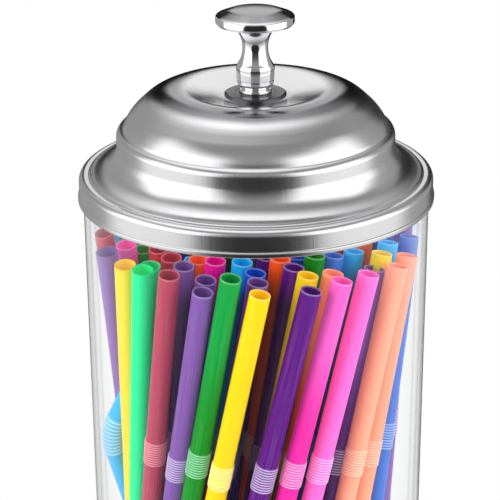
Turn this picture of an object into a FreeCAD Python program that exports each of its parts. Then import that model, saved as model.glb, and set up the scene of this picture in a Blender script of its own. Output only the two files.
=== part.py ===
import FreeCAD, Part
import math
import os

from FreeCAD import Vector

# A countertop straw dispenser: a tall clear jar with a spun steel lid. The knob on the
# lid is bolted to a central rod that carries a plate, so lifting the lid brings the
# straws up out of the jar. Millimetres, +Z up, origin at the centre of the jar's foot.

# Jar
JAR_HEIGHT = 213.0
JAR_RIM_RADIUS = 51.9
JAR_DRAFT = math.radians(0.3)
JAR_WALL = 1.6
JAR_FLOOR = 5.0
JAR_FOOT_FILLET = 3.5
JAR_FLOOR_FILLET = 4.5
JAR_FOOT_WIDTH = 7.0
JAR_PUNT_DEPTH = 1.2
JAR_RIM_CHAMFER = 0.75

# Lid, one spun sheet. Widths run inwards from the skirt and heights up from the flange.
LID_SHEET = 0.7
LID_CLEARANCE = 0.45
LID_SKIRT_DROP = 7.7
LID_CORNER_RADIUS = 1.9
HEM_HEIGHT = 1.5
HEM_LIP = 0.4
FLANGE_WIDTH = 3.4
FLANGE_RISE = 0.5
FLANGE_FILLET = 0.8
FLARE_WIDTH = 11.55
FLARE_RISE = 1.7
FLARE_RADIUS = 8.2
BEAD_HEIGHT = 13.3
BEAD_FILLET = 2.2
CREASE_SETBACK = 2.0
CREASE_RISE = 0.7
SHOULDER_WIDTH = 5.1
SHOULDER_RISE = 7.2
SHOULDER_FILLET = 14.0
RIDGE_WIDTH = 7.5
RIDGE_RISE = 5.7
RIDGE_FILLET = 15.0
SEAT_HEIGHT = 23.6
SEAT_RADIUS = 10.6
SEAT_FILLET = 12.0

# Knob, collar and rosette above the lid
ROSETTE_RADIUS = 9.2
ROSETTE_THICKNESS = 0.7
COLLAR_RADIUS = 5.5
COLLAR_NECK_RADIUS = 3.9
COLLAR_FOOT_RADIUS = 4.8
COLLAR_FOOT_FILLET = 0.45
COLLAR_NECK_HEIGHT = 1.3
COLLAR_HEIGHT = 3.7
KNOB_BASE_RADIUS = 5.7
KNOB_BASE_HEIGHT = 4.4
KNOB_WAIST_RADIUS = 3.9
KNOB_WAIST_HEIGHT = 5.5
KNOB_FLARE_RADIUS = 5.4
KNOB_FLARE_HEIGHT = 5.3
KNOB_CAP_RADIUS = 11.6
KNOB_CAP_GAP = 1.6
KNOB_CAP_BAND = 2.8
KNOB_CAP_CROWN = 2.2
KNOB_BORE_DEPTH = 12.0
EDGE_BREAK = 0.3

# Rod with an M5 thread, drawn plain, at each end, and its fasteners
ROD_RADIUS = 3.0
THREAD_RADIUS = 2.5
THREAD_GAP = 0.1
HOLE_GAP = 0.25
TIP_GAP = 1.0
NUT_ACROSS_FLATS = 8.0
NUT_HEIGHT = 4.0
NUT_CHAMFER_ANGLE = math.radians(30.0)
JAM_NUT_HEIGHT = 2.7
LID_WASHER_RADIUS = 9.0
WASHER_RADIUS = 7.0
WASHER_THICKNESS = 1.0
SPRING_WASHER_RADIUS = 4.6
SPRING_WASHER_THICKNESS = 1.3
SPRING_WASHER_SLIT = 0.8
CAP_NUT_BASE = 3.2
CAP_NUT_DOME_RADIUS = 3.6
CAP_NUT_HEIGHT = 7.0
CAP_NUT_CLEARANCE = 1.2

# Lifter plate, a pressed dish whose raised middle clears the cap nut
PLATE_SHEET = 1.0
PLATE_CLEARANCE = 2.2
PLATE_RIM_HEIGHT = 7.0
PLATE_RIM_FILLET = 1.5
PLATE_BOSS_RADIUS = 12.0
PLATE_BOSS_TAPER = 3.5
PLATE_BOSS_HEIGHT = 6.0

# Straws, standing on the plate in two rings that lean round the rod. The outer ring stands
# at the directions given in degrees from +X, where its open ends are. The inner ring is even.
STRAW_RADIUS = 3.0
STRAW_WALL = 0.3
STRAW_LENGTH = 187.0
STRAW_SEAT_GAP = 0.15
STRAW_EDGE_GAP = 0.5
STRAW_TWIST = math.radians(55.0)
STRAW_RING_STEP = 7.2
OUTER_STRAW_ANGLES = {
    "purple": (-160, -109, -71, 10, 103),
    "yellow": (-144, -89, 38, 129),
    "green": (-134, -99, 77, 154),
    "red": (-122, 64, 167),
    "pink": (-59, -47, 141),
    "orange": (-29, -18, 116),
    "blue": (-3, 51),
    "cyan": (24, 90, 180),
}
INNER_STRAW_COUNT = 22
INNER_STRAW_PLACES = {
    "purple": (4, 6, 7, 12, 21),
    "yellow": (9, 13, 20),
    "green": (2, 5, 16),
    "red": (0, 3, 17),
    "pink": (1, 18),
    "orange": (10, 19),
    "blue": (8, 15),
    "cyan": (11, 14),
}

# Points nearer than this are one point
SAME_POINT = 1e-6

# Places that follow from the sizes above
SKIRT_INNER = JAR_RIM_RADIUS + LID_CLEARANCE
SKIRT_OUTER = SKIRT_INNER + LID_SHEET
FLANGE_TOP = JAR_HEIGHT + LID_SHEET
NECK_RADIUS = SKIRT_OUTER - FLARE_WIDTH
FLANGE_RADIUS = SKIRT_OUTER - FLANGE_WIDTH
BEAD_TOP = FLANGE_TOP + BEAD_HEIGHT
CREASE_RADIUS = NECK_RADIUS - CREASE_SETBACK
CREASE_TOP = BEAD_TOP + CREASE_RISE
SHOULDER_RADIUS = CREASE_RADIUS - SHOULDER_WIDTH
SHOULDER_TOP = CREASE_TOP + SHOULDER_RISE
RIDGE_CENTRE = SHOULDER_RADIUS - RIDGE_WIDTH
RIDGE_TOP = SHOULDER_TOP + RIDGE_RISE
SEAT_TOP = FLANGE_TOP + SEAT_HEIGHT
SEAT_UNDER = SEAT_TOP - LID_SHEET
ROSETTE_TOP = SEAT_TOP + ROSETTE_THICKNESS
COLLAR_TOP = ROSETTE_TOP + COLLAR_HEIGHT
KNOB_SHOULDER = COLLAR_TOP + KNOB_BASE_HEIGHT
KNOB_WAIST = KNOB_SHOULDER + KNOB_WAIST_HEIGHT
KNOB_FLARE = KNOB_WAIST + KNOB_FLARE_HEIGHT
CAP_UNDER = KNOB_FLARE + KNOB_CAP_GAP
CAP_EDGE = CAP_UNDER + KNOB_CAP_BAND
THREAD_BORE = THREAD_RADIUS + THREAD_GAP
BOLT_HOLE = THREAD_RADIUS + HOLE_GAP
LID_WASHER_UNDER = SEAT_UNDER - WASHER_THICKNESS
SPRING_WASHER_UNDER = LID_WASHER_UNDER - SPRING_WASHER_THICKNESS
LID_NUT_UNDER = SPRING_WASHER_UNDER - NUT_HEIGHT
CAP_NUT_UNDER = JAR_FLOOR + CAP_NUT_CLEARANCE
LOWER_WASHER_UNDER = CAP_NUT_UNDER + CAP_NUT_HEIGHT
BOSS_UNDER = LOWER_WASHER_UNDER + WASHER_THICKNESS
BOSS_TOP = BOSS_UNDER + PLATE_SHEET
PLATE_TOP = BOSS_TOP - PLATE_BOSS_HEIGHT
UPPER_WASHER_TOP = BOSS_TOP + WASHER_THICKNESS
JAM_NUT_TOP = UPPER_WASHER_TOP + JAM_NUT_HEIGHT
PLATE_UNDER = PLATE_TOP - PLATE_SHEET


def jar_outer(height):
    """Outer radius of the drafted jar wall at a height."""
    return JAR_RIM_RADIUS - (JAR_HEIGHT - height) * math.tan(JAR_DRAFT)


def jar_inner(height):
    return jar_outer(height) - JAR_WALL


def outline(corners):
    """Edges along corners (radius, height, fillet), with a tangent arc at each fillet."""
    points = [Vector(corner[0], 0, corner[1]) for corner in corners]
    edges = []
    start = points[0]
    for before, here, after, corner in zip(points, points[1:], points[2:], corners[1:]):
        back = (before - here).normalize()
        ahead = (after - here).normalize()
        if corner[2] == 0:
            edges.append(Part.makeLine(start, here))
            start = here
            continue
        half = back.getAngle(ahead) / 2
        reach = corner[2] / math.tan(half)
        first = here + back * reach
        last = here + ahead * reach
        middle = here + (back + ahead).normalize() * (corner[2] / math.sin(half) - corner[2])
        if start.distanceToPoint(first) > SAME_POINT:
            edges.append(Part.makeLine(start, first))
        edges.append(Part.Arc(first, middle, last).toShape())
        start = last
    edges.append(Part.makeLine(start, points[-1]))
    return edges


def turned(edges):
    """Solid of revolution about the axis of a closed outline."""
    wire = Part.Wire(Part.__sortEdges__(edges))
    solid = Part.Face(wire).revolve(Vector(0, 0, 0), Vector(0, 0, 1), 360)
    return Part.makeSolid(solid.Shells[0]) if solid.ShapeType != "Solid" else solid


def closed(corners):
    """Closed outline, started halfway along its last side so that every corner can turn."""
    first = corners[0]
    last = corners[-1]
    middle = ((first[0] + last[0]) / 2, (first[1] + last[1]) / 2, 0)
    return outline([middle] + corners + [middle])


def shifted(corners, distance):
    """The same corners moved inwards by a sheet's thickness, at right angles to each side."""
    points = [Vector(corner[0], 0, corner[1]) for corner in corners]
    sides = []
    for here, after in zip(points, points[1:]):
        along = (after - here).normalize()
        normal = Vector(-along.z, 0, along.x) * -distance
        sides.append((here + normal, along))
    moved = [(sides[0][0].x, sides[0][0].z, 0)]
    for (start, along), (other, onward), corner in zip(sides, sides[1:], corners[1:]):
        across = along.x * onward.z - along.z * onward.x
        step = ((other.x - start.x) * onward.z - (other.z - start.z) * onward.x) / across
        meet = start + along * step
        turn = 1 if across < 0 else -1
        fillet = max(corner[2] - turn * distance, 0) if corner[2] else 0
        moved.append((meet.x, meet.z, fillet))
    end = points[-1] + Vector(-sides[-1][1].z, 0, sides[-1][1].x) * -distance
    moved.append((end.x, end.z, 0))
    return moved


def sheet(corners, thickness):
    """Thin turned shell below or inside the given outer corners."""
    inner = shifted(corners, thickness)
    ends = []
    for one, two in ((corners[0], inner[0]), (corners[-1], inner[-1])):
        ends.append(Part.makeLine(Vector(one[0], 0, one[1]), Vector(two[0], 0, two[1])))
    return turned(outline(corners) + outline(inner) + ends)


def ring(outer, inner, bottom, height):
    return Part.makeCylinder(outer, height, Vector(0, 0, bottom)).cut(
        Part.makeCylinder(inner, height, Vector(0, 0, bottom))
    )


def hexagon(bottom, height):
    """Hexagon bar with its upper and lower corners turned off."""
    corner_radius = NUT_ACROSS_FLATS / math.sqrt(3)
    corners = []
    for index in range(7):
        angle = math.radians(60 * index)
        corners.append(Vector(corner_radius * math.cos(angle), corner_radius * math.sin(angle), bottom))
    prism = Part.Face(Part.makePolygon(corners)).extrude(Vector(0, 0, height))
    chamfer = corner_radius - NUT_ACROSS_FLATS / 2
    slope = chamfer * math.tan(NUT_CHAMFER_ANGLE)
    flat = NUT_ACROSS_FLATS / 2
    turned_bar = turned(closed([
        (0, bottom, 0),
        (flat, bottom, 0),
        (corner_radius, bottom + slope, 0),
        (corner_radius, bottom + height - slope, 0),
        (flat, bottom + height, 0),
        (0, bottom + height, 0),
    ]))
    return prism.common(turned_bar)


def nut(bottom, height):
    return hexagon(bottom, height).cut(Part.makeCylinder(THREAD_BORE, height, Vector(0, 0, bottom)))


def jar():
    """Drafted round jar with a foot ring under it and a thick floor."""
    foot = jar_outer(0)
    return turned(closed([
        (0, JAR_PUNT_DEPTH, 0),
        (foot - JAR_FOOT_WIDTH, JAR_PUNT_DEPTH, 0),
        (foot - JAR_FOOT_WIDTH + JAR_PUNT_DEPTH, 0, 0),
        (foot, 0, JAR_FOOT_FILLET),
        (jar_outer(JAR_HEIGHT - JAR_RIM_CHAMFER), JAR_HEIGHT - JAR_RIM_CHAMFER, 0),
        (JAR_RIM_RADIUS - JAR_RIM_CHAMFER, JAR_HEIGHT, 0),
        (jar_inner(JAR_HEIGHT) + JAR_RIM_CHAMFER, JAR_HEIGHT, 0),
        (jar_inner(JAR_HEIGHT - JAR_RIM_CHAMFER), JAR_HEIGHT - JAR_RIM_CHAMFER, 0),
        (jar_inner(JAR_FLOOR), JAR_FLOOR, JAR_FLOOR_FILLET),
        (0, JAR_FLOOR, 0),
    ]))


def lid_shell():
    """Spun lid: dished knob seat, crown, crease, bead, concave flare, flange and hemmed skirt."""
    skirt_bottom = FLANGE_TOP - LID_SKIRT_DROP
    shell = sheet([
        (BOLT_HOLE, SEAT_TOP, 0),
        (SEAT_RADIUS, SEAT_TOP, SEAT_FILLET),
        (RIDGE_CENTRE, RIDGE_TOP, RIDGE_FILLET),
        (SHOULDER_RADIUS, SHOULDER_TOP, SHOULDER_FILLET),
        (CREASE_RADIUS, CREASE_TOP, 0),
        (NECK_RADIUS, BEAD_TOP, BEAD_FILLET),
        (NECK_RADIUS, FLANGE_TOP + FLARE_RISE, FLARE_RADIUS),
        (FLANGE_RADIUS, FLANGE_TOP + FLANGE_RISE, FLANGE_FILLET),
        (FLANGE_RADIUS + FLANGE_RISE, FLANGE_TOP, 0),
        (SKIRT_OUTER, FLANGE_TOP, LID_CORNER_RADIUS),
        (SKIRT_OUTER, skirt_bottom, 0),
    ], LID_SHEET)
    hem = ring(SKIRT_OUTER + HEM_LIP, SKIRT_INNER, skirt_bottom, HEM_HEIGHT)
    return shell.fuse(hem).removeSplitter()


def lid_rosette():
    return ring(ROSETTE_RADIUS, BOLT_HOLE, SEAT_TOP, ROSETTE_THICKNESS)


def knob_collar():
    """Turned spacer: a rounded foot on the rosette, a narrow neck and a plain band."""
    neck_top = ROSETTE_TOP + COLLAR_NECK_HEIGHT
    foot_top = ROSETTE_TOP + 2 * COLLAR_FOOT_FILLET
    return turned(closed([
        (BOLT_HOLE, ROSETTE_TOP, 0),
        (COLLAR_FOOT_RADIUS, ROSETTE_TOP, 0),
        (COLLAR_FOOT_RADIUS, foot_top, COLLAR_FOOT_FILLET),
        (COLLAR_NECK_RADIUS, foot_top, 0),
        (COLLAR_NECK_RADIUS, neck_top, 0),
        (COLLAR_RADIUS, neck_top + COLLAR_RADIUS - COLLAR_NECK_RADIUS, 0),
        (COLLAR_RADIUS, COLLAR_TOP - EDGE_BREAK, 0),
        (COLLAR_RADIUS - EDGE_BREAK, COLLAR_TOP, 0),
        (BOLT_HOLE, COLLAR_TOP, 0),
    ]))


def knob():
    """Turned knob: plain base, waisted stem and a crowned cap, bored blind from below."""
    bore_top = COLLAR_TOP + KNOB_BORE_DEPTH
    arc_start = Vector(KNOB_BASE_RADIUS, 0, KNOB_SHOULDER)
    arc_end = Vector(KNOB_FLARE_RADIUS, 0, KNOB_FLARE)
    top = Vector(0, 0, CAP_EDGE + KNOB_CAP_CROWN)
    rim = Vector(KNOB_CAP_RADIUS, 0, CAP_EDGE)
    crown_radius = (KNOB_CAP_RADIUS ** 2 + KNOB_CAP_CROWN ** 2) / (2 * KNOB_CAP_CROWN)
    half_turn = math.asin(KNOB_CAP_RADIUS / crown_radius) / 2
    crown_middle = Vector(
        crown_radius * math.sin(half_turn), 0, top.z - crown_radius * (1 - math.cos(half_turn))
    )
    edges = outline([
        (0, bore_top, 0),
        (THREAD_BORE, bore_top, 0),
        (THREAD_BORE, COLLAR_TOP, 0),
        (KNOB_BASE_RADIUS - EDGE_BREAK, COLLAR_TOP, 0),
        (KNOB_BASE_RADIUS, COLLAR_TOP + EDGE_BREAK, 0),
        (KNOB_BASE_RADIUS, KNOB_SHOULDER, 0),
    ])
    edges.append(Part.Arc(arc_start, Vector(KNOB_WAIST_RADIUS, 0, KNOB_WAIST), arc_end).toShape())
    edges += outline([
        (KNOB_FLARE_RADIUS, KNOB_FLARE, 0),
        (KNOB_FLARE_RADIUS, CAP_UNDER, 0),
        (KNOB_CAP_RADIUS, CAP_UNDER, 0),
        (KNOB_CAP_RADIUS, CAP_EDGE, 0),
    ])
    edges.append(Part.Arc(rim, crown_middle, top).toShape())
    edges.append(Part.makeLine(top, Vector(0, 0, bore_top)))
    return turned(edges)


def lift_rod():
    """Round rod with a reduced, threaded length at each end."""
    bottom = LOWER_WASHER_UNDER - CAP_NUT_HEIGHT + CAP_NUT_DOME_RADIUS
    top = COLLAR_TOP + KNOB_BORE_DEPTH - TIP_GAP
    return turned(closed([
        (0, bottom, 0),
        (THREAD_RADIUS - EDGE_BREAK, bottom, 0),
        (THREAD_RADIUS, bottom + EDGE_BREAK, 0),
        (THREAD_RADIUS, JAM_NUT_TOP, 0),
        (ROD_RADIUS, JAM_NUT_TOP, 0),
        (ROD_RADIUS, LID_NUT_UNDER, 0),
        (THREAD_RADIUS, LID_NUT_UNDER, 0),
        (THREAD_RADIUS, top - EDGE_BREAK, 0),
        (THREAD_RADIUS - EDGE_BREAK, top, 0),
        (0, top, 0),
    ]))


def lid_washer():
    return ring(LID_WASHER_RADIUS, BOLT_HOLE, LID_WASHER_UNDER, WASHER_THICKNESS)


def lid_spring_washer():
    """Split lock washer, squeezed flat between the lid washer and the nut."""
    washer = ring(SPRING_WASHER_RADIUS, THREAD_BORE, SPRING_WASHER_UNDER, SPRING_WASHER_THICKNESS)
    slit = Part.makeBox(
        SPRING_WASHER_RADIUS,
        SPRING_WASHER_SLIT,
        SPRING_WASHER_THICKNESS,
        Vector(0, -SPRING_WASHER_SLIT / 2, SPRING_WASHER_UNDER),
    )
    return washer.cut(slit)


def lid_nut():
    return nut(LID_NUT_UNDER, NUT_HEIGHT)


def plate_jam_nut():
    return nut(UPPER_WASHER_TOP, JAM_NUT_HEIGHT)


def plate_upper_washer():
    return ring(WASHER_RADIUS, BOLT_HOLE, BOSS_TOP, WASHER_THICKNESS)


def lifter_plate():
    """Pressed dish with an upright rim and a raised middle."""
    rim = jar_inner(PLATE_UNDER) - PLATE_CLEARANCE
    return sheet([
        (BOLT_HOLE, BOSS_TOP, 0),
        (PLATE_BOSS_RADIUS, BOSS_TOP, 0),
        (PLATE_BOSS_RADIUS + PLATE_BOSS_TAPER, PLATE_TOP, 0),
        (rim - PLATE_SHEET, PLATE_TOP, PLATE_RIM_FILLET),
        (rim - PLATE_SHEET, PLATE_TOP + PLATE_RIM_HEIGHT, 0),
    ], PLATE_SHEET)


def plate_lower_washer():
    return ring(WASHER_RADIUS, BOLT_HOLE, LOWER_WASHER_UNDER, WASHER_THICKNESS)


def plate_cap_nut():
    """Acorn nut that closes the lower end of the rod."""
    base_bottom = LOWER_WASHER_UNDER - CAP_NUT_BASE
    dome_centre = CAP_NUT_UNDER + CAP_NUT_DOME_RADIUS
    dome = Part.makeSphere(CAP_NUT_DOME_RADIUS, Vector(0, 0, dome_centre), Vector(0, 0, 1), -90, 0)
    sleeve = Part.makeCylinder(
        CAP_NUT_DOME_RADIUS, LOWER_WASHER_UNDER - dome_centre, Vector(0, 0, dome_centre)
    )
    bore_bottom = dome_centre - THREAD_GAP
    bore = Part.makeCylinder(THREAD_BORE, LOWER_WASHER_UNDER - bore_bottom, Vector(0, 0, bore_bottom))
    return hexagon(base_bottom, CAP_NUT_BASE).fuse([dome, sleeve]).removeSplitter().cut(bore)


def straw(turn, inset):
    """One straw, from its foot on the plate to its open end under the jar's rim."""
    edge = STRAW_RADIUS + STRAW_EDGE_GAP + inset
    foot_radius = jar_inner(PLATE_UNDER) - PLATE_CLEARANCE - PLATE_SHEET - edge
    top_radius = jar_inner(PLATE_TOP + STRAW_LENGTH) - edge
    foot = Vector(math.cos(turn - STRAW_TWIST), math.sin(turn - STRAW_TWIST), 0) * foot_radius
    top = Vector(math.cos(turn), math.sin(turn), 0) * top_radius
    across = top - foot
    rise = math.sqrt(STRAW_LENGTH ** 2 - across.Length ** 2)
    lean = math.asin(across.Length / STRAW_LENGTH)
    foot.z = PLATE_TOP + STRAW_SEAT_GAP + STRAW_RADIUS * math.sin(lean)
    axis = Vector(across.x, across.y, rise)
    tube = Part.makeCylinder(STRAW_RADIUS, STRAW_LENGTH, foot, axis)
    return tube.cut(Part.makeCylinder(STRAW_RADIUS - STRAW_WALL, STRAW_LENGTH, foot, axis))


def straws(colour):
    """All straws of one colour, first those of the outer ring."""
    tubes = [straw(math.radians(direction), 0) for direction in OUTER_STRAW_ANGLES[colour]]
    for place in INNER_STRAW_PLACES[colour]:
        turn = math.pi + 2 * math.pi * place / INNER_STRAW_COUNT
        tubes.append(straw(turn, STRAW_RING_STEP))
    return Part.makeCompound(tubes)


def main():
    os.makedirs("parts", exist_ok=True)
    pieces = {
        "jar": jar(),
        "lid_shell": lid_shell(),
        "lid_rosette": lid_rosette(),
        "knob_collar": knob_collar(),
        "knob": knob(),
        "lift_rod": lift_rod(),
        "lid_washer": lid_washer(),
        "lid_spring_washer": lid_spring_washer(),
        "lid_nut": lid_nut(),
        "plate_jam_nut": plate_jam_nut(),
        "plate_upper_washer": plate_upper_washer(),
        "lifter_plate": lifter_plate(),
        "plate_lower_washer": plate_lower_washer(),
        "plate_cap_nut": plate_cap_nut(),
    }
    for colour in OUTER_STRAW_ANGLES:
        pieces["straws_" + colour] = straws(colour)
    for name, shape in pieces.items():
        shape.exportStep("parts/" + name + ".step")
        print(name, len(shape.Solids), round(shape.Volume, 1), shape.isValid())


main()
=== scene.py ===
import math
import random

import bmesh
import bpy
from mathutils import Matrix, Vector


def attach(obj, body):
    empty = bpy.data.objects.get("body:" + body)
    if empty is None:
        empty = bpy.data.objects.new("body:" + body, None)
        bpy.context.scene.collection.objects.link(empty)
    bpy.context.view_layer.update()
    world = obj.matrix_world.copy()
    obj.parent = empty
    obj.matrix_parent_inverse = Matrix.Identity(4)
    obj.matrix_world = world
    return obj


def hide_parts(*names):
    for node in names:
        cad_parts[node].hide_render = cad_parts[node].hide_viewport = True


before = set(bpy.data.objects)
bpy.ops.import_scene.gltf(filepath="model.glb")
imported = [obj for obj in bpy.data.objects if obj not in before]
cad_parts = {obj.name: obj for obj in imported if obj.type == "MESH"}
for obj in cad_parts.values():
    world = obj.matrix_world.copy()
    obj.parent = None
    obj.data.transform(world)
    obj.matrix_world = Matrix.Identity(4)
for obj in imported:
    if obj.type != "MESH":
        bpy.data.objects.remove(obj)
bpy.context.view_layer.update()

scene = bpy.context.scene
scene.view_settings.view_transform = "Standard"
perMetre = 1000  # sizes of pieces are in millimetres
nearby = 1e-6  # metres: points closer than this are in the same place

# camera

cameraSettings = {
    "place": (-0.00193, -0.567, 0.4110),
    "focalLength": 144.07,
    "sensorWidth": 36,
    "pitchDown": 21.5,
    "roll": -0.38,
}

cameraData = bpy.data.cameras.new("camera")
cameraData.lens = cameraSettings["focalLength"]
cameraData.sensor_width = cameraSettings["sensorWidth"]
camera = bpy.data.objects.new("camera", cameraData)
scene.collection.objects.link(camera)
camera.matrix_world = (
    Matrix.Translation(cameraSettings["place"])
    @ Matrix.Rotation(math.radians(90 - cameraSettings["pitchDown"]), 4, "X")
    @ Matrix.Rotation(math.radians(cameraSettings["roll"]), 4, "Z")
)
scene.camera = camera
print("camera placed")

# node helpers


def addNode(tree, kind, settings=None, **values):
    # values go to the node's inputs, with an underscore for each space in an input's name
    node = tree.nodes.new(kind)
    for key, value in (settings or {}).items():
        setattr(node, key, value)
    for key, value in values.items():
        setInput(tree, node.inputs[key.replace("_", " ")], value)
    return node


def setInput(tree, socket, value):
    if isinstance(value, bpy.types.NodeSocket):
        tree.links.new(value, socket)
    else:
        socket.default_value = value


def doMath(tree, operation, first, second=0.0, clamp=False):
    node = addNode(tree, "ShaderNodeMath", {"operation": operation, "use_clamp": clamp})
    setInput(tree, node.inputs[0], first)
    setInput(tree, node.inputs[1], second)
    return node.outputs[0]


def doVectorMath(tree, operation, first, second=None):
    node = addNode(tree, "ShaderNodeVectorMath", {"operation": operation})
    setInput(tree, node.inputs[0], first)
    if second is not None:
        setInput(tree, node.inputs[1], second)
    return node.outputs


def product(tree, first, *others):
    for other in others:
        first = doMath(tree, "MULTIPLY", first, other)
    return first


def ramp(tree, value, start, end, low=0.0, high=1.0):
    # smooth step from low to high while value goes from start to end
    return addNode(
        tree, "ShaderNodeMapRange", {"interpolation_type": "SMOOTHSTEP"},
        Value=value, From_Min=start, From_Max=end, To_Min=low, To_Max=high,
    ).outputs[0]


def band(tree, value, start, end, soft):
    rise = ramp(tree, value, start - soft, start + soft)
    fall = ramp(tree, value, end + soft, end - soft)
    return product(tree, rise, fall)


def blend(tree, factor, first, second):
    node = addNode(tree, "ShaderNodeMix", {"data_type": "FLOAT"})
    for index, value in ((0, factor), (2, first), (3, second)):
        setInput(tree, node.inputs[index], value)
    return node.outputs[0]


def blendColour(tree, factor, first, second):
    node = addNode(tree, "ShaderNodeMix", {"data_type": "RGBA"})
    for index, value in ((0, factor), (6, first), (7, second)):
        setInput(tree, node.inputs[index], value)
    return node.outputs[2]


def noise(tree, vector, scale, detail, rough=0.5):
    node = addNode(tree, "ShaderNodeTexNoise", Vector=vector, Scale=scale, Detail=detail, Roughness=rough)
    return node.outputs["Fac"]


def objectPlace(tree):
    return addNode(tree, "ShaderNodeTexCoord").outputs["Object"]


def fromAxis(tree, vector):
    # the point's x and y alone, and how far it is from the upright axis
    split = addNode(tree, "ShaderNodeSeparateXYZ", Vector=vector)
    flat = addNode(tree, "ShaderNodeCombineXYZ", X=split.outputs["X"], Y=split.outputs["Y"]).outputs[0]
    return split, flat, doVectorMath(tree, "LENGTH", flat)["Value"]


def opaque(tone):
    return (*tone, 1.0)


def linear(text):
    # a colour as a screen shows it, such as "f2c400", made linear
    parts = [int(text[i : i + 2], 16) / 255 for i in (0, 2, 4)]
    return opaque(p / 12.92 if p < 0.04 else ((p + 0.055) / 1.055) ** 2.4 for p in parts)


def startMaterial(name):
    material = bpy.data.materials.new(name)
    material.use_nodes = True
    return material, material.node_tree, material.node_tree.nodes["Principled BSDF"]


def emptyMaterial(name):
    material = bpy.data.materials.new(name)
    material.use_nodes = True
    material.node_tree.nodes.clear()
    return material, material.node_tree, addNode(material.node_tree, "ShaderNodeOutputMaterial")


def startGroup(name, inputs, outputs):
    tree = bpy.data.node_groups.new(name, "ShaderNodeTree")
    for label, kind, value in inputs:
        socket = tree.interface.new_socket(label, in_out="INPUT", socket_type=kind)
        if value is not None:
            socket.default_value = value
    for label, kind in outputs:
        tree.interface.new_socket(label, in_out="OUTPUT", socket_type=kind)
    return tree, tree.nodes.new("NodeGroupInput"), tree.nodes.new("NodeGroupOutput")


# mesh helpers: outlines are corners (radius, height, fillet, segments)


def meshObject(name, bm, material):
    mesh = bpy.data.meshes.new(name)
    bm.to_mesh(mesh)
    bm.free()
    mesh.materials.append(material)
    piece = bpy.data.objects.new(name, mesh)
    scene.collection.objects.link(piece)
    return piece


def drawOutline(corners, closed):
    bm = bmesh.new()
    places = [Vector((corner[0], 0, corner[1])) / perMetre for corner in corners]
    verts = [bm.verts.new(place) for place in places]
    for first, second in zip(verts, verts[1:]):
        bm.edges.new((first, second))
    if closed:
        bm.edges.new((verts[-1], verts[0]))
    for index, corner in enumerate(corners):
        if len(corner) < 3:
            continue  # a sharp corner
        here = places[index]
        back = (places[index - 1] - here).normalized()
        ahead = (places[(index + 1) % len(places)] - here).normalized()
        reach = corner[2] / perMetre / math.tan(back.angle(ahead) / 2)
        bmesh.ops.bevel(
            bm, geom=[verts[index]], offset=reach, offset_type="OFFSET", affect="VERTICES",
            segments=corner[3], profile=0.5, material=-1,
        )
    return bm


def spinRound(bm, steps):
    bmesh.ops.spin(
        bm, geom=bm.verts[:] + bm.edges[:], cent=(0, 0, 0), axis=(0, 0, 1),
        angle=math.tau, steps=steps, use_merge=True, use_duplicate=False,
    )


def turnOutline(bm, steps):
    spinRound(bm, steps)
    bmesh.ops.remove_doubles(bm, verts=bm.verts[:], dist=nearby)
    bmesh.ops.recalc_face_normals(bm, faces=bm.faces[:])
    return bm


def finishPiece(piece, body, nodes, sharp=35):
    piece.data.shade_smooth()
    piece.data.set_sharp_from_angle(angle=math.radians(sharp))
    weighted = piece.modifiers.new("weightedNormals", "WEIGHTED_NORMAL")  # long walls keep their own normals
    weighted.keep_sharp = True
    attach(piece, body)
    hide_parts(*nodes)
    return piece


# studio: world, cards, floor and lamps. A turn is 0 at the front and pi behind, a height is an
# elevation, both in radians

studio = {
    "fill": 0.12,
    "front": {"levels": (0.024, 0.30), "heights": (-0.15, 0.80)},
    "rear": {"level": 0.36, "turns": (0.4, 1.3)},
    "ceiling": {"level": 0.30, "heights": (0.6, 0.9)},
    "overhead": {"level": 1.40, "aim": (-0.12, 0.34, 0.933), "angles": (0.84, 0.07)},
    "sideBox": {
        "level": 1.50,
        "nearTurns": (0.64, 0.50),  # its near edge, below and above nearHeights
        "nearHeights": (-0.22, -0.06),
        "nearSoft": 0.05,
        "farTurns": (1.83, 1.73),
        "top": (0.87, 0.56),
        "lowFades": ((-0.30, -0.12, 0.60), (-0.52, -0.34, 0.15)),
    },
    "darkFrame": {
        "level": 0.012,
        "across": (-0.05, 0.05),
        "turns": (2.70, 2.42),  # where it starts, left and right of across
        "soft": 0.1,
        "top": (0.52, 0.42),
    },
    "lowCard": {"level": 0.26, "heights": (0.17, 0.36), "soft": 0.06},
    "panel": {"level": 1.0, "turns": (2.93, 3.0), "heights": (0.21, 0.25)},
}


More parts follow.
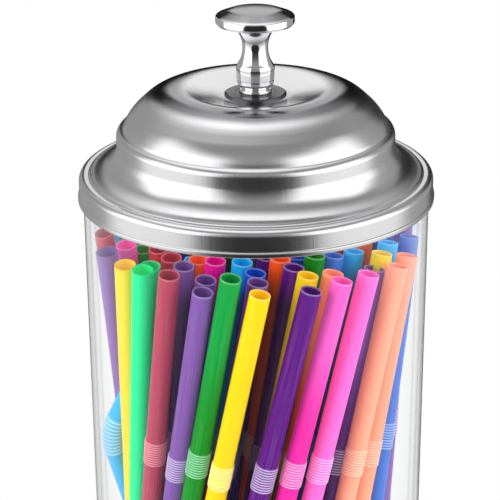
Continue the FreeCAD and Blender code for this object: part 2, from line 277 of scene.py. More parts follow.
def buildStudioPattern():
    # how bright the studio is in each direction, as the metal sees it
    tree, inside, outside = startGroup(
        "studioPattern", (("Direction", "NodeSocketVector", None),), (("Level", "NodeSocketFloat"),)
    )
    aim = inside.outputs["Direction"]
    split = addNode(tree, "ShaderNodeSeparateXYZ", Vector=aim)
    forward = doMath(tree, "MULTIPLY", split.outputs["Y"], -1.0)
    turn = doMath(tree, "ABSOLUTE", doMath(tree, "ARCTAN2", split.outputs["X"], forward))
    height = doMath(tree, "ARCSINE", split.outputs["Z"])

    front, rear, ceiling = studio["front"], studio["rear"], studio["ceiling"]
    level = ramp(tree, height, *front["heights"], *front["levels"])
    level = blend(tree, ramp(tree, turn, *rear["turns"]), level, rear["level"])
    level = blend(tree, ramp(tree, height, *ceiling["heights"]), level, ceiling["level"])

    overhead = studio["overhead"]
    fromAbove = doMath(tree, "ARCCOSINE", doVectorMath(tree, "DOT_PRODUCT", aim, overhead["aim"])["Value"])
    level = blend(tree, ramp(tree, fromAbove, *overhead["angles"]), level, overhead["level"])

    box = studio["sideBox"]
    nearEdge = ramp(tree, height, *box["nearHeights"], *box["nearTurns"])
    fromEdge = doMath(tree, "SUBTRACT", turn, nearEdge)
    inBox = product(
        tree,
        ramp(tree, fromEdge, -box["nearSoft"], box["nearSoft"]),
        ramp(tree, turn, *box["farTurns"]),
        ramp(tree, height, *box["top"]),
        *(ramp(tree, height, *fade) for fade in box["lowFades"]),
    )
    level = blend(tree, inBox, level, box["level"])

    dark = studio["darkFrame"]
    darkEdge = ramp(tree, split.outputs["X"], *dark["across"], *dark["turns"])
    fromDark = doMath(tree, "SUBTRACT", turn, darkEdge)
    inDark = product(tree, ramp(tree, fromDark, 0.0, dark["soft"]), ramp(tree, height, *dark["top"]))
    level = blend(tree, inDark, level, dark["level"])

    card, panel = studio["lowCard"], studio["panel"]
    behind = ramp(tree, turn, *panel["turns"])
    inCard = product(tree, behind, band(tree, height, *card["heights"], card["soft"]))
    level = blend(tree, inCard, level, card["level"])
    inPanel = product(tree, behind, ramp(tree, height, *panel["heights"]))
    level = blend(tree, inPanel, level, panel["level"])
    tree.links.new(level, outside.inputs["Level"])
    return tree


def studioLevel(tree, pattern, direction):
    return addNode(tree, "ShaderNodeGroup", {"node_tree": pattern}, Direction=direction).outputs["Level"]


def buildWorld(pattern):
    world = bpy.data.worlds.new("studio")
    scene.world = world
    world.use_nodes = True
    tree = world.node_tree
    tree.nodes.clear()
    level = studioLevel(tree, pattern, addNode(tree, "ShaderNodeTexCoord").outputs["Generated"])
    path = addNode(tree, "ShaderNodeLightPath").outputs
    white = doMath(tree, "ADD", path["Is Camera Ray"], path["Is Transmission Ray"], True)
    shown = blend(tree, path["Is Glossy Ray"], studio["fill"], level)
    light = addNode(tree, "ShaderNodeBackground", Color=blend(tree, white, shown, 1.0))
    tree.links.new(light.outputs[0], addNode(tree, "ShaderNodeOutputWorld").inputs[0])


cardSettings = {
    "seenFrom": 0.215,  # height of the middle of the lid
    "corners": ((0.11, 0.002), (0.45, 0.002), (0.45, 0.268)),
    "steps": 96,
    "hiddenFrom": ("camera", "diffuse", "transmission", "shadow", "volume_scatter"),
}


def buildCards(pattern):
    # reflector cards round the lid, seen only in the metal and the jar: they carry the
    # studio's brightness on below the horizon
    material, tree, output = emptyMaterial("cards")
    away = doVectorMath(tree, "SUBTRACT", objectPlace(tree), (0.0, 0.0, cardSettings["seenFrom"]))[0]
    level = studioLevel(tree, pattern, doVectorMath(tree, "NORMALIZE", away)[0])
    light = addNode(tree, "ShaderNodeEmission", Color=level)
    tree.links.new(light.outputs[0], output.inputs[0])
    bm = bmesh.new()
    verts = [bm.verts.new((0, -reach, height)) for reach, height in cardSettings["corners"]]
    bm.edges.new(verts[:2])
    bm.edges.new(verts[1:])
    spinRound(bm, cardSettings["steps"])
    cards = meshObject("reflectorCards", bm, material)
    for ray in cardSettings["hiddenFrom"]:
        setattr(cards, "visible_" + ray, False)


floorSettings = {
    "radius": 2.2,
    "drop": 0.0002,
    "steps": 96,
    "fade": (0.08, 0.20),  # from plain paper round the jar to the white backdrop
    "tone": 0.80,
    "grain": 0.02,
    "grainScale": 900.0,
}


def seenRay(tree):
    # 1 for rays that should see the white background: camera, mirror and through glass
    path = addNode(tree, "ShaderNodeLightPath").outputs
    some = doMath(tree, "ADD", path["Is Camera Ray"], path["Is Transmission Ray"], True)
    return doMath(tree, "ADD", some, path["Is Glossy Ray"], True)


def buildFloor():
    material, tree, output = emptyMaterial("floor")
    where = objectPlace(tree)
    fade = ramp(tree, doVectorMath(tree, "LENGTH", where)["Value"], *floorSettings["fade"])
    grain = noise(tree, where, floorSettings["grainScale"], detail=3.0)
    low = floorSettings["tone"] - floorSettings["grain"]
    high = floorSettings["tone"] + floorSettings["grain"]
    paper = addNode(tree, "ShaderNodeBsdfDiffuse", Color=blend(tree, grain, low, high))
    glow = addNode(tree, "ShaderNodeEmission", Strength=1.0)
    mix = addNode(tree, "ShaderNodeMixShader")
    for index, value in enumerate((product(tree, fade, seenRay(tree)), paper.outputs[0], glow.outputs[0])):
        tree.links.new(value, mix.inputs[index])
    tree.links.new(mix.outputs[0], output.inputs[0])
    bm = bmesh.new()
    bmesh.ops.create_circle(
        bm, cap_ends=True, segments=floorSettings["steps"], radius=floorSettings["radius"]
    )
    bmesh.ops.translate(bm, verts=bm.verts[:], vec=(0, 0, -floorSettings["drop"]))
    meshObject("floor", bm, material)


lampSettings = {
    "aim": (0, 0, 0.17),
    "lamps": (  # name, place, size, power
        ("leftSoftbox", (-0.70, -0.36, 0.42), (0.5, 0.7), 5.5),
        ("rightSoftbox", (0.72, -0.33, 0.40), (0.5, 0.7), 5.2),
        ("topSoftbox", (0.0, -0.05, 1.05), (0.8, 0.8), 6.0),
        ("frontFill", (0.0, -0.95, 0.35), (0.5, 0.4), 1.4),
    ),
}


def buildLamps():
    for name, place, size, power in lampSettings["lamps"]:
        data = bpy.data.lights.new(name, "AREA")
        data.shape = "RECTANGLE"
        data.size, data.size_y = size
        data.energy = power
        lamp = bpy.data.objects.new(name, data)
        scene.collection.objects.link(lamp)
        lamp.location = place
        aim = Vector(lampSettings["aim"]) - Vector(place)
        lamp.rotation_euler = aim.to_track_quat("-Z", "Y").to_euler()
        lamp.visible_camera = False
        lamp.visible_glossy = False


# metal finishes

grainSettings = {
    "rayDrift": 0.9,  # how fast a ray changes on its way out
    "ringWobble": 0.0012,
    "rayNoise": (3.0, 0.6),  # detail and roughness of each noise
    "ringNoise": (2.0, 0.6),
    "smudgeNoise": (4.0, 0.55),
    "smudgeRange": (0.3, 0.7),  # from the dulled tone to the full one
    "bumpDistance": 0.001,
}


def buildSpunGrain():
    # streaks of a spun and brushed sheet: Rays run out from the axis, Rings run round it
    tree, inside, outside = startGroup(
        "spunGrain",
        (("Vector", "NodeSocketVector", None), ("Ray Count", "NodeSocketFloat", 90.0),
         ("Ring Count", "NodeSocketFloat", 2400.0), ("Smudge Scale", "NodeSocketFloat", 60.0)),
        (("Rays", "NodeSocketFloat"), ("Rings", "NodeSocketFloat"), ("Smudge", "NodeSocketFloat")),
    )
    where = inside.outputs["Vector"]
    split, flat, reach = fromAxis(tree, where)
    out = addNode(tree, "ShaderNodeSeparateXYZ", Vector=doVectorMath(tree, "NORMALIZE", flat)[0]).outputs
    rayPlace = addNode(
        tree, "ShaderNodeCombineXYZ", X=out["X"], Y=out["Y"],
        Z=doMath(tree, "MULTIPLY", reach, grainSettings["rayDrift"]),
    ).outputs[0]
    wobble = doMath(tree, "MULTIPLY", out["X"], grainSettings["ringWobble"])
    ringPlace = addNode(
        tree, "ShaderNodeCombineXYZ", X=reach, Y=doMath(tree, "ADD", split.outputs["Z"], wobble),
        Z=doMath(tree, "MULTIPLY", out["Y"], grainSettings["ringWobble"]),
    ).outputs[0]
    rays = noise(tree, rayPlace, inside.outputs["Ray Count"], *grainSettings["rayNoise"])
    rings = noise(tree, ringPlace, inside.outputs["Ring Count"], *grainSettings["ringNoise"])
    smudge = noise(tree, where, inside.outputs["Smudge Scale"], *grainSettings["smudgeNoise"])
    for label, value in (("Rays", rays), ("Rings", rings), ("Smudge", smudge)):
        tree.links.new(value, outside.inputs[label])
    return tree


lidLook = {
    "tone": (0.78, 0.78, 0.79), "dulling": 0.95, "brushed": 0.8, "rough": 0.20,
    "rayCount": 150.0, "ringCount": 2600.0, "smudgeScale": 55.0,
    "rayRough": 0.08, "ringRough": 0.04, "smudgeRough": 0.04, "rayDepth": 0.016, "ringDepth": 0.002,
    "top": (0.2345, 0.2395), "topRough": -0.09, "topTone": (0.80, 0.80, 0.81),
    # the ring is a painted dark reflection on the crown's crest
    "ring": (0.0200, 0.0240, 0.0285, 0.0315), "ringTone": (0.30, 0.30, 0.31),
}
chromeLook = {
    "tone": (0.90, 0.90, 0.91), "dulling": 0.98, "rough": 0.05,
    "rayCount": 30.0, "ringCount": 3000.0, "smudgeScale": 120.0,
    "rayRough": 0.01, "ringRough": 0.02, "smudgeRough": 0.04, "rayDepth": 0.0, "ringDepth": 0.0004,
    # on the knob cap the top's dark tone is painted shade, keeping the cap's top from reflecting the bright
    # studio
    "top": (0.2612, 0.2617), "topRough": 0.12, "topTone": (0.36, 0.36, 0.37),
}
plainLook = {key: value for key, value in lidLook.items() if key not in ("brushed", "top", "ring")}
# the rosette's near-black tone is painted shade and dark reflection under the knob
rosettePaintedDarkLook = dict(plainLook, tone=(0.13, 0.13, 0.135), rough=0.22)
rodLook = dict(plainLook, tone=(0.70, 0.70, 0.71), rough=0.24, rayDepth=0.0)


def spunSteel(name, group, look):
    # top is two heights and the painted dark ring four radii, in metres, between which another tone comes in;
    # the ring's tone is a painted dark reflection on the crest of the lid's crown
    material, tree, shader = startMaterial(name)
    where = objectPlace(tree)
    grain = addNode(
        tree, "ShaderNodeGroup", {"node_tree": group}, Vector=where,
        Ray_Count=look["rayCount"], Ring_Count=look["ringCount"], Smudge_Scale=look["smudgeScale"],
    ).outputs
    rough = look["rough"]
    for label, amount in (("Rays", "rayRough"), ("Rings", "ringRough"), ("Smudge", "smudgeRough")):
        change = doMath(tree, "MULTIPLY", doMath(tree, "SUBTRACT", grain[label], 0.5), look[amount])
        rough = doMath(tree, "ADD", rough, change, True)
    dulled = opaque(part * look["dulling"] for part in look["tone"])
    bright = ramp(tree, grain["Smudge"], *grainSettings["smudgeRange"])
    tone = blendColour(tree, bright, dulled, opaque(look["tone"]))
    # above the top heights another tone comes in; on the knob cap it is painted shade
    if "top" in look:
        high = addNode(tree, "ShaderNodeSeparateXYZ", Vector=where).outputs["Z"]
        top = ramp(tree, high, *look["top"])
        rough = doMath(tree, "ADD", rough, doMath(tree, "MULTIPLY", top, look["topRough"]), True)
        tone = blendColour(tree, top, tone, opaque(look["topTone"]))
    # painted dark reflection: a dark band by radius on the crest of the crown
    if "ring" in look:
        inner, innerFull, outerFull, outer = look["ring"]
        reach = fromAxis(tree, where)[2]
        ring = product(tree, ramp(tree, reach, inner, innerFull), ramp(tree, reach, outer, outerFull))
        tone = blendColour(tree, ring, tone, opaque(look["ringTone"]))
    tree.links.new(rough, shader.inputs["Roughness"])
    tree.links.new(tone, shader.inputs["Base Color"])
    rays = doMath(tree, "MULTIPLY", grain["Rays"], look["rayDepth"])
    rings = doMath(tree, "MULTIPLY", grain["Rings"], look["ringDepth"])
    height = doMath(tree, "ADD", rays, rings)
    bump = addNode(
        tree, "ShaderNodeBump", Height=height, Strength=1.0, Distance=grainSettings["bumpDistance"]
    )
    tree.links.new(bump.outputs[0], shader.inputs["Normal"])
    shader.inputs["Metallic"].default_value = 1.0
    if "brushed" in look:
        tangent = addNode(tree, "ShaderNodeTangent", {"direction_type": "UV_MAP", "uv_map": "spunMap"})
        tree.links.new(tangent.outputs[0], shader.inputs["Tangent"])
        shader.inputs["Anisotropic"].default_value = look["brushed"]
    return material


# lid

lidSettings = {
    "sheet": 0.7,
    "steps": 192,
    "mapScale": 4,
    "corners": (
        (2.75, 237.3),
        (10.6, 237.3, 12.0, 6),
        (26.9, 240.6, 15.0, 18),
        (33.2, 235.7, 20.0, 8),
        (37.5, 231.6, 16.0, 14),
        (39.1, 228.55, 4.0, 6),
        (39.45, 227.4, 0.25, 3),
        (41.5, 227.0, 2.2, 9),
        (41.5, 215.4, 8.2, 20),
        (49.65, 214.2, 0.8, 4),
        (50.15, 213.6, 0.3, 3),
        (50.7, 213.7, 0.3, 3),
        (53.05, 213.7, 1.9, 10),
        (53.05, 207.9, 0.2, 3),
        (52.9, 207.6, 0.2, 3),
        (53.45, 207.3, 0.35, 4),
        (53.45, 206.0, 0.4, 4),
        (52.9, 205.95),
    ),
}


def mapRound(bm):
    # UV: U runs round the axis and V out along the sheet
    layer = bm.loops.layers.uv.new("spunMap")
    for face in bm.faces:
        middle = face.calc_center_median()
        start = math.atan2(middle.y, middle.x)
        for loop in face.loops:
            place = loop.vert.co
            reach = math.hypot(place.x, place.y)
            turn = math.atan2(place.y, place.x) if reach > nearby else start
            turn = start + math.remainder(turn - start, math.tau)
            loop[layer].uv = (turn / math.tau, (reach - place.z) * lidSettings["mapScale"])


def buildLid(material):
    bm = turnOutline(drawOutline(lidSettings["corners"], False), lidSettings["steps"])
    if sum(face.normal.z for face in bm.faces) < 0:
        bmesh.ops.reverse_faces(bm, faces=bm.faces[:])  # faces look out, so the sheet thickens inwards
    mapRound(bm)
    bmesh.ops.solidify(bm, geom=bm.faces[:], thickness=lidSettings["sheet"] / perMetre)
    lid = finishPiece(meshObject("spunLid", bm, material), "lifter", ["lid_shell"], sharp=50)
    lid.visible_shadow = False  # lets the top softbox reach the straws


# turned pieces on the lid

rosetteSettings = {
    "steps": 96,
    "corners": (
        (2.75, 237.3), (9.2, 237.3), (9.2, 237.7, 0.2, 3), (8.6, 238.0, 0.5, 4),
        (6.2, 237.85, 0.8, 3), (5.4, 238.0, 0.3, 3), (2.75, 238.0),
    ),
}

collarSettings = {
    "steps": 96,
    "corners": (
        (2.75, 238.0), (4.8, 238.0, 0.2, 3), (4.8, 238.9, 0.42, 6), (3.95, 239.0, 0.2, 3),
        (4.0, 239.5, 0.4, 4), (5.5, 240.6, 0.7, 5), (5.5, 241.4, 0.1, 3), (5.25, 241.68, 0.12, 3),
        (2.75, 241.7),
    ),
}

knobSettings = {
    "steps": 128,
    "corners": (
        (0.0, 253.7), (2.6, 253.7), (2.6, 241.7), (5.25, 241.72, 0.15, 3), (5.68, 242.1, 0.25, 3),
        (5.72, 245.6, 0.2, 3), (5.3, 246.5, 0.5, 3), (1.62, 251.6, 8.6, 20), (5.35, 256.6, 0.4, 3),
        (5.45, 257.4, 0.6, 4), (6.2, 258.5, 0.7, 4), (11.0, 258.55, 0.35, 4), (11.6, 259.2, 0.45, 4),
        (11.6, 261.1, 0.5, 5), (7.0, 262.9, 9.0, 8), (0.0, 263.5),
    ),
}


def buildTurned(name, settings, material, node, sharp=35):
    closed = settings["corners"][0][0] > 0  # a bored piece has a closed outline
    bm = turnOutline(drawOutline(settings["corners"], closed), settings["steps"])
    finishPiece(meshObject(name, bm, material), "lifter", [node], sharp)


# jar

jarSettings = {
    "steps": 160,
    "baseHeight": 9.0,
    "corners": (
        (0.0, 1.2), (43.6, 1.2, 0.6, 3), (44.9, 0.0, 0.6, 3), (50.78, 0.0, 3.5, 8),
        (51.9, 213.0, 0.75, 6), (50.3, 213.0, 0.75, 6), (49.2, 5.0, 4.5, 10), (0.0, 5.0),
    ),
    "ior": 1.49,
    "hazeScale": 45.0,
    "haze": (0.35, 0.75, 0.0, 0.003),  # from the haze noise to the roughness
    "tints": ((0.985, 0.990, 0.992), (0.995, 0.998, 1.0)),
    "paintedEdgeTone": (0.66, 0.66, 0.67),  # painted shade: the wall darkened at its edges, where it is seen along it
    "paintedEdgeBand": (0.750, 0.795, 0.018),
    "paintedEdgeFade": (0.88, 1.0),
}


def clearPlastic(name, paintedEdgeShare, shine):
    material, tree, shader = startMaterial(name)
    haze = noise(tree, objectPlace(tree), jarSettings["hazeScale"], detail=3.0)
    tree.links.new(ramp(tree, haze, *jarSettings["haze"]), shader.inputs["Roughness"])
    dull, clear = jarSettings["tints"]
    tint = blendColour(tree, haze, opaque(dull), opaque(clear))
    # painted shade: the wall's tint darkens where the wall is seen edge-on, by its facing
    facing = addNode(tree, "ShaderNodeLayerWeight", Blend=0.5).outputs["Facing"]
    inner = band(tree, facing, *jarSettings["paintedEdgeBand"])
    paintedEdge = doMath(tree, "ADD", inner, ramp(tree, facing, *jarSettings["paintedEdgeFade"]), True)
    tint = blendColour(tree, product(tree, paintedEdge, paintedEdgeShare), tint, opaque(jarSettings["paintedEdgeTone"]))
    tree.links.new(tint, shader.inputs["Base Color"])
    shader.inputs["IOR"].default_value = jarSettings["ior"]
    shader.inputs["Specular Tint"].default_value = opaque((shine, shine, shine))
    shader.inputs["Transmission Weight"].default_value = 1.0
    return material


def buildJar(wallPlastic, basePlastic):
    bm = turnOutline(drawOutline(jarSettings["corners"], False), jarSettings["steps"])
    for face in bm.faces:
        face.material_index = int(face.calc_center_median().z * perMetre < jarSettings["baseHeight"])
    jar = meshObject("clearJar", bm, wallPlastic)
    jar.data.materials.append(basePlastic)
    finishPiece(jar, "jar", ["jar"])
    jar.visible_shadow = False
    jar.visible_diffuse = False


# straws

strawSettings = {
    "radius": 3.05,
    "wall": 0.28,
    "length": 187.0,
    "bellowsTop": 58.0,
    "ridges": 10,
    "ridgePitch": 0.85,
    "ridgeDepth": 0.34,
    "valleyDepth": 0.02,
    "sleeve": 1.2,
    "steps": 22,
    "twist": 55.0,
    "footShare": 0.91,
    "footHeight": 9.35,
    "seed": 7,
}

# shares of the straw's length are from its foot, 0, to its open end, 1
strawLook = {
    "cutEdge": (0.9972, 0.9990),
    # painted highlight: the cut edge paled
    "paintedCutEdgeHighlight": 0.25,
    "paintedCrestHighlight": (0.5, -1.0, 0.10, 0.72),  # painted highlight on the ridges: from the ridges' wave to how pale they are
    "streakStretch": (4.0, 2.0),
    "streakNoise": (3.0, 3.0, 0.6),
    "streakPale": (0.45, 0.8, 0.0, 0.06),
    "streakRough": (0.2, 0.8, 0.24, 0.36),
    # painted light: the milky share rises toward the open top, standing in for light through the plastic
    "paintedVeilRise": (0.74, 0.92, 0.12, 1.0),
    # painted shade of the straws deep in the bunch: its reach from the axis, share of the length, strength
    # and tone
    "paintedShadeReach": (0.042, 0.034),
    "paintedShadeAlong": (0.995, 0.93),
    "paintedShadeAmount": 0.80,
    "paintedShadeTone": (0.012, 0.006, 0.010),
    "bumpStrength": 0.15,
    "bumpDistance": 0.00003,
    "ior": 1.5,
    "specular": 0.15,
    "glow": 0.15,  # painted glow: emission in the straw's own colour, standing in for light that the thin plastic passes on
}

# each colour as a clear batch, a milky batch, toward which its pastel shade and painted veil pale it, and the
# pale of the painted highlights on its cut edge and bellows' crests
strawColours = {
    "purple": ("560678", "9270ba", "e4d4f6"),
    "yellow": ("f6cc00", "f2e04a", "fffbc8"),
    "green": ("008408", "00e68e", "b4f8d0"),
    "red": ("c80010", "ae4058", "ffb4be"),
    "pink": ("e80098", "ff78d8", "ffd0f4"),
    "orange": ("f85008", "ffa486", "ffdcc8"),
    "blue": ("0a44c0", "4a84d4", "b4d8ff"),
    "cyan": ("00acf0", "8cd4f6", "c8f0ff"),
}

# outer ring: colour, direction of the top in degrees (-90 is the front), its height, how milky it is (below 0
# for as milky all along), partly its own pastel shade and partly a painted veil for the jar's reflection of
# the side softboxes, and whether it stands with its bellows down
outerRadius = 46.6
outerRing = (
    ("red", 180, 193.7, 0.6, False), ("purple", -160, 193.9, -0.65, True),
    ("yellow", -144, 194.3, -0.3, True), ("green", -134, 195.2, -1.0, True),
    ("red", -122, 196.0, -1.0, False), ("purple", -109, 192.5, -0.5, False),
    ("green", -99, 197.5, 0.15, False), ("yellow", -89, 192.7, 0.0, False),
    ("purple", -71, 192.8, 0.0, False), ("pink", -59, 194.1, 0.6, False),
    ("pink", -47, 193.8, -0.75, False), ("orange", -29, 191.5, -1.0, False),
    ("orange", -18, 191.6, -0.9, False), ("blue", -3, 193.0, -0.5, False),
    ("purple", 10, 193.0, -0.5, False), ("cyan", 24, 196.0, 0.2, False),
    ("yellow", 38, 194.0, 0.2, False), ("blue", 51, 195.0, 0.1, False),
    ("red", 64, 194.0, 0.0, False), ("green", 77, 195.0, 0.0, False),
    ("cyan", 90, 194.0, 0.3, False), ("purple", 103, 196.0, 0.2, False),
    ("orange", 116, 194.0, 0.4, False), ("yellow", 129, 195.0, 0.2, False),
    ("pink", 141, 194.0, 0.5, False), ("green", 154, 195.5, 0.3, False),
    ("cyan", 167, 195.0, 0.2, False),
)

# straws inside the outer ring: colour, direction and radius of the top, its height, how milky it is, partly
# its own pastel shade and partly a painted veil
innerStraws = (
    ("pink", -167, 39.9, 193.4, 0.4), ("green", -140.5, 40.0, 193.1, 0.6),
    ("purple", -111.5, 39.6, 193.3, 0.3), ("purple", -89.6, 39.8, 193.6, 0.3),
    ("yellow", -68.5, 39.6, 194.5, 0.0), ("orange", -57, 40.0, 193.8, 0.8),
    ("purple", -32, 40.5, 190.3, 0.3), ("yellow", -23.6, 40.3, 193.0, 0.3),
    ("cyan", -10.5, 40.2, 193.0, 0.1), ("green", -173.8, 34.2, 190.0, 0.0),
    ("red", -160.9, 30.8, 192.5, 0.3), ("red", -141.6, 31.8, 193.5, 0.5),
    ("purple", -128.3, 34.0, 193.5, 0.5), ("orange", -127.8, 27.4, 193.5, 0.1),
    ("pink", -114.3, 28.9, 195.0, 0.0), ("cyan", -98.7, 27.6, 195.0, 0.0),
    ("blue", -90.6, 33.2, 193.9, 0.0), ("purple", -80.9, 20.0, 193.5, 0.0),
    ("orange", -74.8, 26.3, 195.2, 0.0), ("purple", -71.5, 33.6, 195.0, 0.0),
    ("blue", -54.9, 20.4, 192.5, 0.0), ("green", -51.4, 27.3, 194.5, 0.0),
    ("blue", -37.1, 28.3, 192.8, 0.6), ("cyan", -22.0, 31.3, 192.0, 0.1),
)

# the hidden rest, ring by ring: radius of the tops, first direction, step, then colours
rearStraws = {
    "height": 193.5,
    "heightSpread": (-1.5, 2.0),
    # random milky share of the hidden straws, partly pastel shade and partly painted veil
    "pastelAndPaintedVeilSpread": (0, 0.4),
    "rings": (
        (39.6, 6, 16.4, (
            "blue", "green", "red", "yellow", "orange", "cyan", "pink", "purple", "red", "yellow", "green",
        )),
        (32.6, 2, 19.6, ("orange", "purple", "green", "blue", "red", "yellow", "pink", "cyan", "purple")),
        (25.6, 0, 24.0, ("red", "cyan", "purple", "orange", "yellow", "green", "pink", "blue")),
        (18.4, 10, 32.0, ("pink", "green", "purple", "red", "blue", "orange")),
    ),
}

# one straw has its bellows pulled out and bent, with its short arm leaning in over the bunch
bentStraw = {
    "colour": "cyan",
    "pastelAndPaintedVeil": 0.0,
    "foot": (-21.6, 29.2),
    "footRaise": 1.2,
    "knee": (-44.3, -6.0, 122.0),
    "arm": (0.42, -0.05, 0.90),
    "pull": 0.45,
}


def buildStrawSkin():
    # UV: U runs round the straw and V along it. Pale is the painted highlight on the cut edge and the
    # bellows' crests, with pale streaks at random
    tree, inside, outside = startGroup(
        "strawSkin",
        (("Vector", "NodeSocketVector", None), ("Frost", "NodeSocketFloat", 0.0),
         ("Reach", "NodeSocketFloat", 1.0), ("Body", "NodeSocketColor", None),
         ("Milky", "NodeSocketColor", None), ("Pale", "NodeSocketColor", None),
         ("Bellows Start", "NodeSocketFloat", 0.68), ("Bellows End", "NodeSocketFloat", 0.72)),
        (("Color", "NodeSocketColor"), ("Roughness", "NodeSocketFloat"), ("Height", "NodeSocketFloat")),
    )
    look, given = strawLook, inside.outputs
    split = addNode(tree, "ShaderNodeSeparateXYZ", Vector=given["Vector"])
    around, along = split.outputs["X"], split.outputs["Y"]
    start, end = given["Bellows Start"], given["Bellows End"]

    stretch = addNode(
        tree, "ShaderNodeCombineXYZ", Z=0.0,
        X=doMath(tree, "MULTIPLY", around, look["streakStretch"][0]),
        Y=doMath(tree, "MULTIPLY", along, look["streakStretch"][1]),
    )
    streak = noise(tree, stretch.outputs[0], *look["streakNoise"])

    bellows = product(tree, doMath(tree, "GREATER_THAN", along, start), doMath(tree, "LESS_THAN", along, end))
    extent = doMath(tree, "SUBTRACT", end, start)
    turns = doMath(tree, "DIVIDE", doMath(tree, "SUBTRACT", along, start), extent)
    wave = doMath(tree, "COSINE", doMath(tree, "MULTIPLY", turns, math.tau * strawSettings["ridges"]))
    # painted highlight: pale lines on the bellows' crests
    paintedCrestHighlight = product(tree, bellows, ramp(tree, wave, *look["paintedCrestHighlight"]))
    paintedEdge = product(tree, ramp(tree, along, *look["cutEdge"]), look["paintedCutEdgeHighlight"])
    pale = doMath(tree, "ADD", paintedCrestHighlight, paintedEdge, True)
    pale = doMath(tree, "ADD", pale, ramp(tree, streak, *look["streakPale"]), True)

    # milky: the body paled toward the milky batch, partly the straw's own pastel shade and partly painted
    # light
    even = doMath(tree, "LESS_THAN", given["Frost"], 0.0)  # a straw that is as milky all along
    milky = doMath(tree, "MAXIMUM", even, ramp(tree, along, *look["paintedVeilRise"]))
    milky = doMath(tree, "MULTIPLY", milky, doMath(tree, "ABSOLUTE", given["Frost"]), True)
    colour = blendColour(tree, milky, given["Body"], given["Milky"])
    colour = blendColour(tree, pale, colour, given["Pale"])

    # painted shade: straws near the axis are darkened toward a near-black tone, standing in for the shade
    # deep in the bunch; their tops less so
    paintedShade = product(
        tree, ramp(tree, given["Reach"], *look["paintedShadeReach"]), ramp(tree, along, *look["paintedShadeAlong"]),
        look["paintedShadeAmount"],
    )
    colour = blendColour(tree, paintedShade, colour, opaque(look["paintedShadeTone"]))
    rough = ramp(tree, streak, *look["streakRough"])
    for label, value in (("Color", colour), ("Roughness", rough), ("Height", streak)):
        tree.links.new(value, outside.inputs[label])
    return tree


def strawPlastic(name, group, colours, bellows):
    material, tree, shader = startMaterial(name)
    body, milky, pale = (linear(text) for text in colours)
    skin = addNode(
        tree, "ShaderNodeGroup", {"node_tree": group},
        Vector=addNode(tree, "ShaderNodeUVMap", {"uv_map": "strawMap"}).outputs["UV"],
        Frost=addNode(tree, "ShaderNodeAttribute", {"attribute_name": "pastelAndPaintedVeil"}).outputs["Fac"],
        Reach=fromAxis(tree, objectPlace(tree))[2],
        Body=body, Milky=milky, Pale=pale, Bellows_Start=bellows[0], Bellows_End=bellows[1],
    ).outputs
    bump = addNode(
        tree, "ShaderNodeBump", Height=skin["Height"],
        Strength=strawLook["bumpStrength"], Distance=strawLook["bumpDistance"],
    )
    tree.links.new(skin["Color"], shader.inputs["Base Color"])
    # painted glow: the straw's colour also goes to its emission
    tree.links.new(skin["Color"], shader.inputs["Emission Color"])
    tree.links.new(skin["Roughness"], shader.inputs["Roughness"])
    tree.links.new(bump.outputs[0], shader.inputs["Normal"])
    shader.inputs["Emission Strength"].default_value = strawLook["glow"]
    shader.inputs["IOR"].default_value = strawLook["ior"]
    shader.inputs["Specular IOR Level"].default_value = strawLook["specular"]
    return material


def strawShape():
    # one straight straw on the axis, and where its bellows start and end as shares of its length
    size = strawSettings
    radius, length = size["radius"], size["length"]
    end = length - size["bellowsTop"]
    start = end - size["ridges"] * size["ridgePitch"]
    outer = [(radius, 0.0), (radius, start - size["sleeve"])]
    for ridge in range(size["ridges"]):
        low = start + ridge * size["ridgePitch"]
        outer.append((radius - size["valleyDepth"], low))
        outer.append((radius + size["ridgeDepth"], low + size["ridgePitch"] * 0.5))
    outer += [(radius - size["valleyDepth"], end), (radius, end + size["sleeve"]), (radius, length)]
    corners = outer + [(reach - size["wall"], height) for reach, height in reversed(outer)]
    bm = turnOutline(drawOutline(corners, True), size["steps"])
    layer = bm.loops.layers.uv.new("strawMap")
    for face in bm.faces:
        for loop in face.loops:
            place = loop.vert.co
            loop[layer].uv = (abs(math.atan2(place.y, place.x)) / math.pi, place.z * perMetre / length)
    mesh = bpy.data.meshes.new("strawShape")
    bm.to_mesh(mesh)
    bm.free()
    return mesh, (start / length, end / length)


def strawPlace(direction, topRadius, topHeight, spin, bellowsDown=False):
    # matrix that stands a straw on the plate and leans it round the rod, its bellows
    # pulled out or pushed in a little so that its open end reaches the height
    turn = math.radians(direction)
    foot = turn - math.radians(strawSettings["twist"])
    low = Vector((math.cos(foot), math.sin(foot), 0)) * topRadius * strawSettings["footShare"]
    high = Vector((math.cos(turn), math.sin(turn), 0)) * topRadius
    lean = math.asin((high - low).length / strawSettings["length"])
    low.z = strawSettings["footHeight"] + strawSettings["radius"] * math.sin(lean)
    high.z = topHeight
    if bellowsDown:
        low, high = high, low
    axis = high - low
    stretch = Matrix.Diagonal((1, 1, axis.length / strawSettings["length"], 1))
    turned = axis.to_track_quat("Z", "Y").to_matrix().to_4x4() @ Matrix.Rotation(spin, 4, "Z")
    return Matrix.Translation(low / perMetre) @ turned @ stretch


def addStraw(bm, shape, pastelAndPaintedVeilLayer, pastelAndPaintedVeil):
    before = len(bm.verts)
    bm.from_mesh(shape)
    bm.verts.ensure_lookup_table()
    added = bm.verts[before:]
    for vert in added:
        vert[pastelAndPaintedVeilLayer] = pastelAndPaintedVeil
    return added


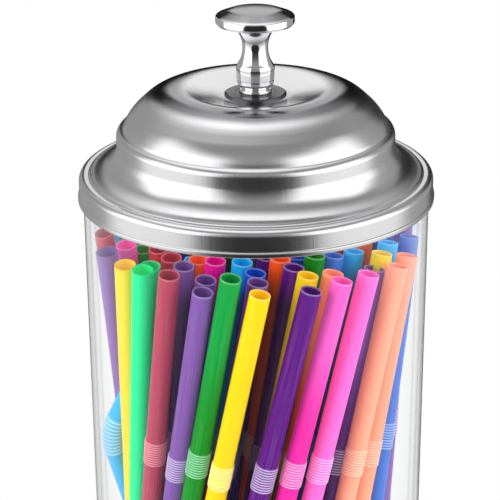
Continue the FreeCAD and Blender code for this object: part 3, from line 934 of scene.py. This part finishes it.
def bendStraw(bm, verts, bellows):
    size = strawSettings
    foot = Vector((*bentStraw["foot"], size["footHeight"] + bentStraw["footRaise"]))
    axis = (Vector(bentStraw["knee"]) - foot).normalized()
    arm = Vector(bentStraw["arm"]).normalized()
    lean = (arm - axis * arm.dot(axis)).normalized()
    start = bellows[0] * size["length"]
    cuts = [(start + size["ridgePitch"] * ridge) / perMetre for ridge in range(size["ridges"] + 1)]
    above = [[vert for vert in verts if vert.co.z > cut - nearby] for cut in cuts]
    bend = Matrix.Rotation(axis.angle(arm) / len(cuts), 3, "Y")
    for cut, moved in reversed(list(zip(cuts, above))):
        bmesh.ops.rotate(bm, cent=(0, 0, cut), matrix=bend, verts=moved)
        bmesh.ops.translate(bm, vec=(0, 0, bentStraw["pull"] / perMetre), verts=moved)
    turned = Matrix((lean, axis.cross(lean), axis)).transposed().to_4x4()
    bmesh.ops.transform(bm, matrix=Matrix.Translation(foot / perMetre) @ turned, verts=verts)


def placeStraws():
    # for each colour, where its straws stand and how milky they are
    chance = random.Random(strawSettings["seed"])
    places = {colour: [] for colour in strawColours}
    for colour, direction, height, pastelAndPaintedVeil, bellowsDown in outerRing:
        spin = chance.random() * math.tau
        places[colour].append((strawPlace(direction, outerRadius, height, spin, bellowsDown), pastelAndPaintedVeil))
    for colour, direction, radius, height, pastelAndPaintedVeil in innerStraws:
        spin = chance.random() * math.tau
        places[colour].append((strawPlace(direction, radius, height, spin), pastelAndPaintedVeil))
    for radius, first, step, colours in rearStraws["rings"]:
        for index, colour in enumerate(colours):
            height = rearStraws["height"] + chance.uniform(*rearStraws["heightSpread"])
            matrix = strawPlace(first + step * index, radius, height, chance.random() * math.tau)
            places[colour].append((matrix, chance.uniform(*rearStraws["pastelAndPaintedVeilSpread"])))
    return places


def buildStraws(group):
    shape, bellows = strawShape()
    for colour, straws in placeStraws().items():
        bm = bmesh.new()
        pastelAndPaintedVeilLayer = bm.verts.layers.float.new("pastelAndPaintedVeil")
        for matrix, pastelAndPaintedVeil in straws:
            bmesh.ops.transform(bm, matrix=matrix, verts=addStraw(bm, shape, pastelAndPaintedVeilLayer, pastelAndPaintedVeil))
        if colour == bentStraw["colour"]:
            bendStraw(bm, addStraw(bm, shape, pastelAndPaintedVeilLayer, bentStraw["pastelAndPaintedVeil"]), bellows)
        material = strawPlastic("straw" + colour.capitalize(), group, strawColours[colour], bellows)
        piece = meshObject(colour + "Straws", bm, material)
        finishPiece(piece, "lifter", ["straws_" + colour], sharp=60)
    bpy.data.meshes.remove(shape)


# hidden hardware: the source's own nodes, with a finish

hardware = (
    "lift_rod", "lid_washer", "lid_spring_washer", "lid_nut", "plate_jam_nut", "plate_upper_washer",
    "lifter_plate", "plate_lower_washer", "plate_cap_nut",
)


def finishHardware(material):
    for node in hardware:
        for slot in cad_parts[node].material_slots:
            slot.material = material


# everything is built here

studioPattern = buildStudioPattern()
buildWorld(studioPattern)
buildCards(studioPattern)
buildFloor()
buildLamps()
print("studio built")

spunGrain = buildSpunGrain()
lidSteel = spunSteel("lidSteel", spunGrain, lidLook)
knobChrome = spunSteel("knobChrome", spunGrain, chromeLook)
rosettePaintedDarkSteel = spunSteel("rosettePaintedDarkSteel", spunGrain, rosettePaintedDarkLook)
rodSteel = spunSteel("rodSteel", spunGrain, rodLook)
print("metals mixed")

buildLid(lidSteel)
buildTurned("rosette", rosetteSettings, rosettePaintedDarkSteel, "lid_rosette")
buildTurned("knobCollar", collarSettings, knobChrome, "knob_collar")
buildTurned("turnedKnob", knobSettings, knobChrome, "knob", sharp=40)
print("lid and knob turned")

buildJar(clearPlastic("jarClear", 1.0, 0.12), clearPlastic("jarBaseClear", 0.0, 1.0))
print("jar moulded")

buildStraws(buildStrawSkin())
print("straws stood in the jar")

finishHardware(rodSteel)
print("hidden hardware finished")
